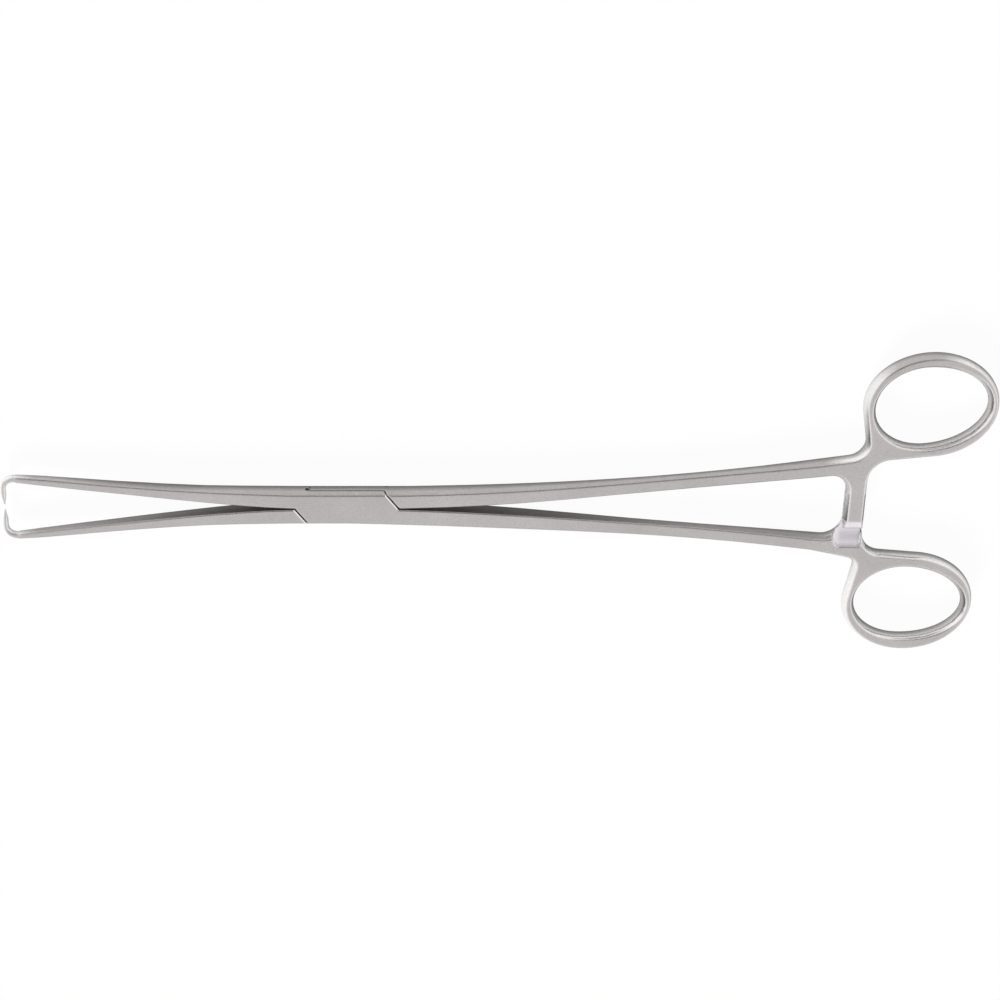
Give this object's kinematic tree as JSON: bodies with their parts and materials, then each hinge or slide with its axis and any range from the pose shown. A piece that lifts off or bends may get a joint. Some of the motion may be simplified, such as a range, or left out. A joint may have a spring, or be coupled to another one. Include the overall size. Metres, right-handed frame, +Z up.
{
  "type": "tenaculum forceps",
  "caption": "Long box-lock tenaculum forceps with single hooked tips, slim shanks, ratchet bars and oval finger rings, for gripping tissue.",
  "frame": {"origin": "pivot axis at the underside of the box lock, the face the forceps rest on", "axes": "+X from the hooked tips towards the finger rings, +Y across the forceps towards the ring of the inner half, +Z up along the pivot axis"},
  "size_m": [0.2476, 0.0824, 0.0057],
  "materials": {
    "satin_steel": "satin ground faces, bright rounded side walls",
    "pin_steel": "ground flush with the box lock"
  },
  "bodies": {
    "box_side": {"box_half": "satin_steel", "pivot_pin": "pin_steel"},
    "inner_side": {"inner_half": "satin_steel"}
  },
  "joints": [
    {"name": "box_lock_hinge", "type": "hinge", "parent": "box_side", "child": "inner_side", "pos_m": [0, 0, 0.00285], "axis": [0, 0, 1], "range_deg": [-0.7, 60]}
  ]
}
